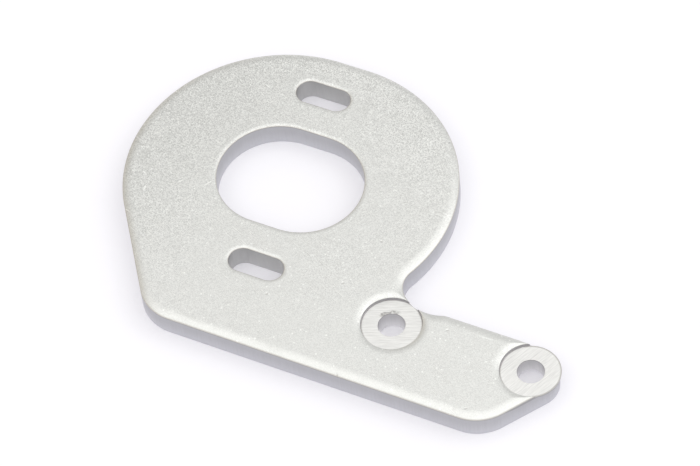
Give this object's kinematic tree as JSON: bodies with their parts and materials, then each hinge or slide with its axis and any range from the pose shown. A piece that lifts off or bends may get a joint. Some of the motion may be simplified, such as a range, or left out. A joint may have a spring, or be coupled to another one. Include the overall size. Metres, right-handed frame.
{
  "type": "motor plate",
  "caption": "Stamped aluminium motor plate: a round lobe with an opening for the motor's boss and slots for its screws, and an arm with screw holes in coined seats.",
  "frame": {"origin": "centre of the large opening, which is the motor's axis in mid travel, on the plate's flat underside", "axes": "+X along the motor's travel and the long lower edge, towards the arm's end; +Z from the flat underside to the face with the coined seats and the rounded-down edges"},
  "size_m": [0.059, 0.0407, 0.003],
  "materials": {
    "plate_aluminium": "tumbled satin, with bare ground seats and sheared walls"
  },
  "bodies": {
    "root": {"motor_plate": "plate_aluminium"}
  },
  "joints": []
}
